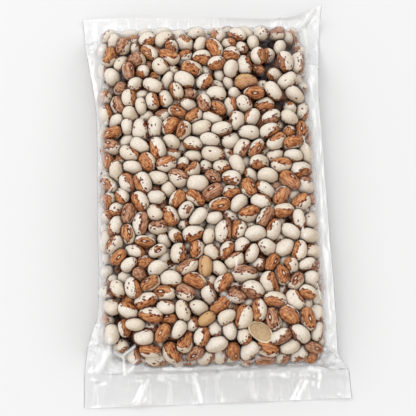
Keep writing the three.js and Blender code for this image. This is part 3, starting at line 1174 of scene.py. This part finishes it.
def with_eye(tree, spot, luck, colour, fleck):
    """Adds the pale scar by which the bean hung in its pod, in a dark ring."""
    eye_place = vector_node(tree, "MULTIPLY", spot, (1 / EYE_SIZE[0], 1 / EYE_SIZE[1], 0.0))
    from_eye = vector_node(tree, "LENGTH", eye_place)
    eye_side = step_node(tree, part_node(tree, spot, 2), 0.5, 0.8)
    ring = math_node(tree, "MULTIPLY", step_node(tree, from_eye, *RING_EDGE), eye_side)
    ring_share = step_node(tree, part_node(tree, luck, 1), 0.0, 0.6, *RING_SHARE)
    colour = blend_node(tree, math_node(tree, "MULTIPLY", ring, ring_share), colour, fleck)
    core = math_node(tree, "MULTIPLY", step_node(tree, from_eye, *EYE_EDGE), eye_side)
    return blend_node(tree, core, colour, EYE_COLOUR)


# %% Painted shade away from the light, deep in the heap and at touches
KEY_WAY = (-0.52, 0.3, 0.8)  # roughly towards the large light
KEY_RANGE = (0.88, 0.05)
# painted shade: what the skin keeps of its red, green and blue where it turns from the large light
PAINTED_SHADE_TURNED_AWAY = (0.72, 0.65, 0.57)
# painted shade deep in the heap and where beans touch: its colour, the depths where it sets in, and
# how much of it the deepest beans get
PAINTED_SHADE_COLOUR = paint(70, 22, 3)
PAINTED_SHADE_DEPTHS = (6.5, 14.0)  # between these depths in the heap, the beans fade into the dark
DEEP_PAINTED_SHADE = 0.9
# painted shade where another bean touches: the crowding over which it sets in, and how much of it
CROWD_RANGE = (0.4, 1.0)
CROWD_PAINTED_SHADE = 0.68


def with_painted_shade(tree, colour):
    """Paints shade into the colour: on the side turned from the light, deep in the heap and at
    touches.
    """
    facing = node(tree, "ShaderNodeNewGeometry").outputs["Normal"]
    lit = vector_node(tree, "DOT_PRODUCT", facing, KEY_WAY)
    kept = blend_node(tree, step_node(tree, lit, *KEY_RANGE), (1, 1, 1), PAINTED_SHADE_TURNED_AWAY)
    colour = vector_node(tree, "MULTIPLY", colour, kept)
    deep = step_node(tree, attribute_node(tree, "bean_depth"), *PAINTED_SHADE_DEPTHS, 0.0, DEEP_PAINTED_SHADE)
    colour = blend_node(tree, deep, colour, PAINTED_SHADE_COLOUR)
    crowded = attribute_node(tree, "bean_crowding")
    crowded = step_node(tree, crowded, *CROWD_RANGE, 0.0, CROWD_PAINTED_SHADE)
    return blend_node(tree, crowded, colour, PAINTED_SHADE_COLOUR)


# %% The bean material
LUCK_SPREAD = (37.0, 53.0, 41.0)  # takes each bean to its own part of the noise
STREAK_STRETCH = (1.0, 2.6, 2.6)  # streaks run along the bean
GRAIN_HEIGHT = 0.0005


def bean_material(name, ivory, patch_light, patch_dark, fleck, cover_low, cover_high, how_many):
    """The skin of one kind of bean."""
    material, tree = new_material(name)
    spot = attribute_node(tree, "bean_spot", "Vector")
    luck = attribute_node(tree, "bean_luck", "Vector")
    place = vector_node(tree, "ADD", spot, vector_node(tree, "MULTIPLY", luck, LUCK_SPREAD))
    streak_place = vector_node(tree, "MULTIPLY", place, STREAK_STRETCH)
    level = patch_level(tree, spot, luck, place, cover_low, cover_high)
    base = ivory_paint(tree, place, streak_place, luck, ivory)
    patch = patch_paint(tree, place, streak_place, level, patch_light, patch_dark, fleck)
    colour = blend_node(tree, step_node(tree, level, *PATCH_EDGE), base, patch)
    colour = with_flecks(tree, place, level, colour, fleck, how_many)
    colour = with_eye(tree, spot, luck, colour, fleck)
    # painted shade: deeper colour away from the light, deep in the heap and where beans touch
    colour = with_painted_shade(tree, colour)
    grain = noise_node(tree, place, 7.0, 3.0, 0.6)
    bump = node(tree, "ShaderNodeBump", {"Height": grain, "Strength": 0.5, "Distance": GRAIN_HEIGHT})
    inputs = {"Base Color": colour, "Roughness": 0.45, "Specular IOR Level": 0.12}
    inputs["Normal"] = bump.outputs[0]
    skin = node(tree, "ShaderNodeBsdfPrincipled", inputs)
    node(tree, "ShaderNodeOutputMaterial", {"Surface": skin.outputs[0]})
    return material


# %% The kinds' colours
IVORY = paint(233, 225, 214)
RUST_LIGHT = paint(210, 152, 103)
RUST_DARK = paint(146, 80, 42)
BROWN_LIGHT = paint(202, 160, 130)
BROWN_DARK = paint(134, 80, 50)
MAROON = paint(86, 22, 8)
TAN = paint(208, 171, 127)
TAN_PATCH = paint(189, 139, 88)
TAN_FLECK = paint(108, 62, 34)
FINISHES = {  # ivory, light and dark patch, flecks, the cover's range, and how many flecks
    "rust_patched_beans": (IVORY, RUST_LIGHT, RUST_DARK, MAROON, -0.36, 0.46, 0.9),
    "brown_patched_beans": (IVORY, BROWN_LIGHT, BROWN_DARK, MAROON, -0.36, 0.46, 1.0),
    "ivory_beans": (IVORY, RUST_LIGHT, BROWN_DARK, MAROON, 0.35, 1.1, 0.3),
    "tan_beans": (TAN, TAN_PATCH, BROWN_LIGHT, TAN_FLECK, -0.4, 0.6, 0.3),
}
for kind, finish in FINISHES.items():
    dress(beans[kind], bean_material(kind + "_skin", *finish))

# %% The split bean's material
SPLIT_FACE = paint(190, 163, 127)
SPLIT_SHADE = paint(176, 146, 109)
SPLIT_RIM = paint(212, 196, 164)
SPLIT_RIM_FROM = (0.88, 0.94)
GROOVE_AT = 0.85
GROOVE_WIDTH = 0.04


def split_material():
    """A mealy inner face with a dark groove and a pale rim of skin round it."""
    material, tree = new_material("split_bean_skin")
    spot = attribute_node(tree, "bean_spot", "Vector")
    on_face = step_node(tree, part_node(tree, spot, 1), 0.0, 0.04)
    from_middle = vector_node(tree, "LENGTH", vector_node(tree, "MULTIPLY", spot, (1.0, 0.0, 1.0)))
    mottle = step_node(tree, noise_node(tree, spot, 3.0, 4.0, 0.6), 0.4, 0.65)
    face = blend_node(tree, mottle, SPLIT_FACE, SPLIT_SHADE)
    groove = math_node(tree, "ABSOLUTE", math_node(tree, "SUBTRACT", from_middle, GROOVE_AT))
    groove = step_node(tree, groove, GROOVE_WIDTH, 0.0, 0.0, 0.5)
    face = blend_node(tree, groove, face, BROWN_DARK)
    face = blend_node(tree, step_node(tree, from_middle, *SPLIT_RIM_FROM), face, SPLIT_RIM)
    colour = blend_node(tree, on_face, IVORY, face)
    inputs = {"Base Color": colour, "Roughness": 0.6, "Specular IOR Level": 0.25}
    skin = node(tree, "ShaderNodeBsdfPrincipled", inputs)
    node(tree, "ShaderNodeOutputMaterial", {"Surface": skin.outputs[0]})
    return material


dress(split_bean, split_material())

# %% [markdown]
# ## The film's finish
# Clear film is seen by what it reflects. A glass shader would be slow and noisy over so many
# beans, so the film is a mix: mostly a plain transparent shader, which lets light and shadow
# through straight, and a glossy one that takes over at grazing angles, with some milky white
# that makes the loose film show over the floor. The two numbers kept with each point steer it:
# loose film mirrors more and is milkier than tight film, and the second number makes the film
# whiter towards the far seal and nearly opaque white along some folds and pinches: painted
# highlights where they glint.

# %% The film material
STREAKS_STRETCH = (1.0, 0.16, 1.0)  # the fine streaks run along the bag
MIRROR = (0.002, 0.14)  # how much tight and loose film mirror when seen face on
EDGE_MIRROR = (0.35, 0.65)  # and how much more when seen edge on
MILK = (0.001, 0.38)
STREAK_MILK = (0.0, 0.24)
STREAKED_FROM = 0.2
WHITE_AND_HIGHLIGHT_MILK = 0.75
MOST_MILK = 0.9
MILK_COLOUR = (0.96, 0.96, 0.96, 1)
LETS_THROUGH = (0.995, 0.995, 0.996)
THROUGH_EDGE_ON = (0.6, 0.6, 0.61)
EDGE_ON_FROM = (0.45, 0.95)
EDGE_ON_SHARE = 0.45
CRINKLE_HEIGHT = 0.0004


def film_material():
    """Clear film that gets milkier and glossier where it's loose, with painted highlights as white
    film.
    """
    material, tree = new_material("clear_film")
    place = node(tree, "ShaderNodeTexCoord").outputs["Object"]
    looseness = attribute_node(tree, "film_looseness")
    crinkle = noise_node(tree, place, 420.0, 4.0, 0.6)
    bump_inputs = {"Height": crinkle, "Strength": 0.1, "Distance": CRINKLE_HEIGHT}
    bump = node(tree, "ShaderNodeBump", bump_inputs)
    gloss = node(tree, "ShaderNodeBsdfGlossy", {"Roughness": 0.18, "Normal": bump.outputs[0]})
    milk = node(tree, "ShaderNodeBsdfDiffuse", {"Color": MILK_COLOUR})
    facing_inputs = {"Blend": 0.5, "Normal": bump.outputs[0]}
    edge_on = node(tree, "ShaderNodeLayerWeight", facing_inputs).outputs["Facing"]
    steep = step_node(tree, edge_on, *EDGE_ON_FROM, 0.0, EDGE_ON_SHARE)
    through = blend_node(tree, steep, LETS_THROUGH, THROUGH_EDGE_ON)
    clear = node(tree, "ShaderNodeBsdfTransparent", {"Color": through})
    face_on_share = step_node(tree, looseness, 0.0, 1.0, *MIRROR)
    edge_on_share = step_node(tree, looseness, 0.0, 1.0, *EDGE_MIRROR)
    edge_on = math_node(tree, "POWER", edge_on, 4.0)
    mirror_share = math_node(tree, "MULTIPLY_ADD", edge_on, edge_on_share, face_on_share)
    streak_place = vector_node(tree, "MULTIPLY", place, STREAKS_STRETCH)
    streaks = step_node(tree, noise_node(tree, streak_place, 190.0, 2.0, 0.6), 0.5, 0.68)
    milk_share = step_node(tree, looseness, 0.0, 1.0, *MILK)
    streak_share = step_node(tree, looseness, STREAKED_FROM, 1.0, *STREAK_MILK)
    milk_share = math_node(tree, "MULTIPLY_ADD", streaks, streak_share, milk_share)
    # white film: whiter towards the far seal, and painted highlights along some folds and pinches
    white_and_highlights = attribute_node(tree, "film_white_and_highlights")
    milk_share = math_node(tree, "MULTIPLY_ADD", white_and_highlights, WHITE_AND_HIGHLIGHT_MILK, milk_share)
    milk_share = math_node(tree, "MINIMUM", milk_share, MOST_MILK)
    milky = node(tree, "ShaderNodeMixShader", {0: milk_share, 1: clear.outputs[0], 2: milk.outputs[0]})
    mixed = {0: mirror_share, 1: milky.outputs[0], 2: gloss.outputs[0]}
    film_skin = node(tree, "ShaderNodeMixShader", mixed)
    node(tree, "ShaderNodeOutputMaterial", {"Surface": film_skin.outputs[0]})
    return material


dress(bag_skin, film_material())

# %% [markdown]
# ## Floor, light and camera
# The bag lies on a plain pale floor that has no edge in view. One large soft light stands to the
# upper left, so the shadow falls softly to the right, where a weaker one lightens it, and the
# room's even white fills the rest. A long weak light on the near side is there for the film, whose
# folds glint in it.

# %% Floor
FLOOR_SIZE = 6000.0
half = FLOOR_SIZE / 2
floor_points = np.array([[-half, -half, 0], [half, -half, 0], [half, half, 0], [-half, half, 0]])
floor = add_mesh("floor", floor_points, np.array([[0, 1, 2, 3]]), rounded=False)
floor_paint, floor_tree = new_material("pale_floor")
floor_inputs = {"Base Color": (*paint(218, 218, 218), 1), "Roughness": 0.6}
floor_skin = node(floor_tree, "ShaderNodeBsdfPrincipled", floor_inputs)
node(floor_tree, "ShaderNodeOutputMaterial", {"Surface": floor_skin.outputs[0]})
dress(floor, floor_paint)

# %% Light
ROOM_BRIGHTNESS = 1.0
world = bpy.data.worlds.new("studio")
bpy.context.scene.world = world
world.use_nodes = True
world.node_tree.nodes["Background"].inputs["Color"].default_value = (1, 1, 1, 1)
world.node_tree.nodes["Background"].inputs["Strength"].default_value = ROOM_BRIGHTNESS


def add_light(name, place, size, power):
    """A soft light that looks at the bag's middle, with its place and size in millimetres."""
    light = bpy.data.lights.new(name, "AREA")
    light.shape = "RECTANGLE"
    light.size, light.size_y = (side * MM for side in size)
    light.energy = power
    lamp = bpy.data.objects.new(name, light)
    lamp.location = Vector(place) * MM
    lamp.rotation_euler = (-Vector(place)).to_track_quat("-Z", "Y").to_euler()
    bpy.context.scene.collection.objects.link(lamp)


LIGHTS = (  # name, place, size and power of each
    ("key", (-900, 700, 1000), (900, 900), 6.1),
    ("fill", (1150, 100, 900), (900, 500), 3.4),
    ("near_strip", (-450, -1050, 850), (1200, 300), 2),
)
for light_settings in LIGHTS:
    add_light(*light_settings)
print(f"{len(LIGHTS)} soft lights in a white room")
bpy.context.scene.view_settings.view_transform = "Standard"

# %% Camera
CAMERA_AROUND = math.radians(-4.2)
CAMERA_ABOVE = math.radians(72.5)
CAMERA_ROLL = math.radians(2.0)
CAMERA_DISTANCE = 600.0
LOOKS_AT = Vector((-1.45, -9.0, 12.0))
LENS = 89.4
SENSOR_WIDTH = 36
NEAREST_SEEN = 0.01
back = Vector(
    (
        math.sin(CAMERA_AROUND) * math.cos(CAMERA_ABOVE),
        -math.cos(CAMERA_AROUND) * math.cos(CAMERA_ABOVE),
        math.sin(CAMERA_ABOVE),
    )
)
level_right = Vector((0, 0, 1)).cross(back).normalized()
level_up = back.cross(level_right)
right = level_right * math.cos(CAMERA_ROLL) + level_up * math.sin(CAMERA_ROLL)
upward = back.cross(right)
camera = bpy.data.objects.new("camera", bpy.data.cameras.new("camera"))
camera.data.lens = LENS
camera.data.sensor_width = SENSOR_WIDTH
camera.data.clip_start = NEAREST_SEEN
place_matrix = Matrix((right, upward, back)).transposed().to_4x4()
place_matrix.translation = (LOOKS_AT + back * CAMERA_DISTANCE) * MM
camera.matrix_world = place_matrix
bpy.context.scene.collection.objects.link(camera)
bpy.context.scene.camera = camera
print(f"the camera stands at {[round(part, 3) for part in place_matrix.translation]}")

# %% Join the pieces to the frame
for piece in [*beans.values(), split_bean]:
    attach(piece, "root")
    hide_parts("bean_bag")
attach(bag_skin, "root")
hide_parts("bean_bag")
print(f"{len(beans) + 2} pieces ride on the root in place of the solid bag")
